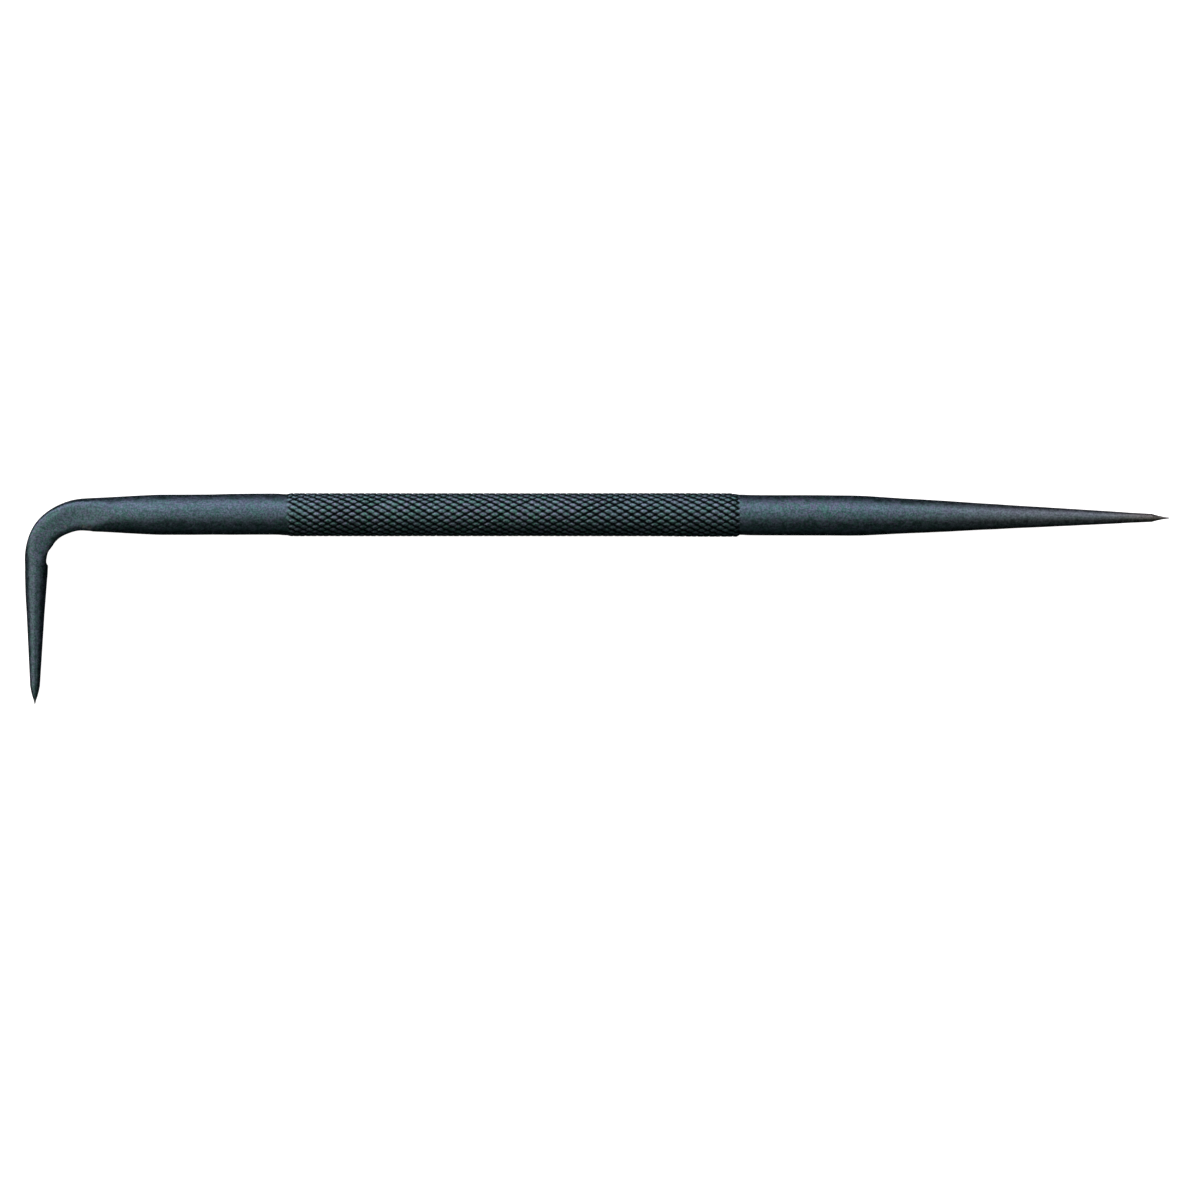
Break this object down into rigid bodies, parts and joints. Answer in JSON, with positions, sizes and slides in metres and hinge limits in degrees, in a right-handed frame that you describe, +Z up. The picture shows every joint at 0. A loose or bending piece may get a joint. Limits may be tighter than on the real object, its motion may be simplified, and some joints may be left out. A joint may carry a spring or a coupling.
{
  "type": "hook tool",
  "caption": "Dark steel bar tool with a knurled grip, a long straight point, and a matching point bent square into a hook, for picking out packing, seals and O-rings.",
  "frame": {"origin": "on the surface that the tool lies on, below the middle of its bounding box", "axes": "+X along the bar toward the straight point, -Y the way the hook's leg runs, +Z up from the surface that it lies on"},
  "size_m": [0.2268, 0.0418, 0.0085],
  "materials": {
    "black_oxide_steel": "satin"
  },
  "bodies": {
    "root": {"hook_tool": "black_oxide_steel"}
  },
  "joints": []
}
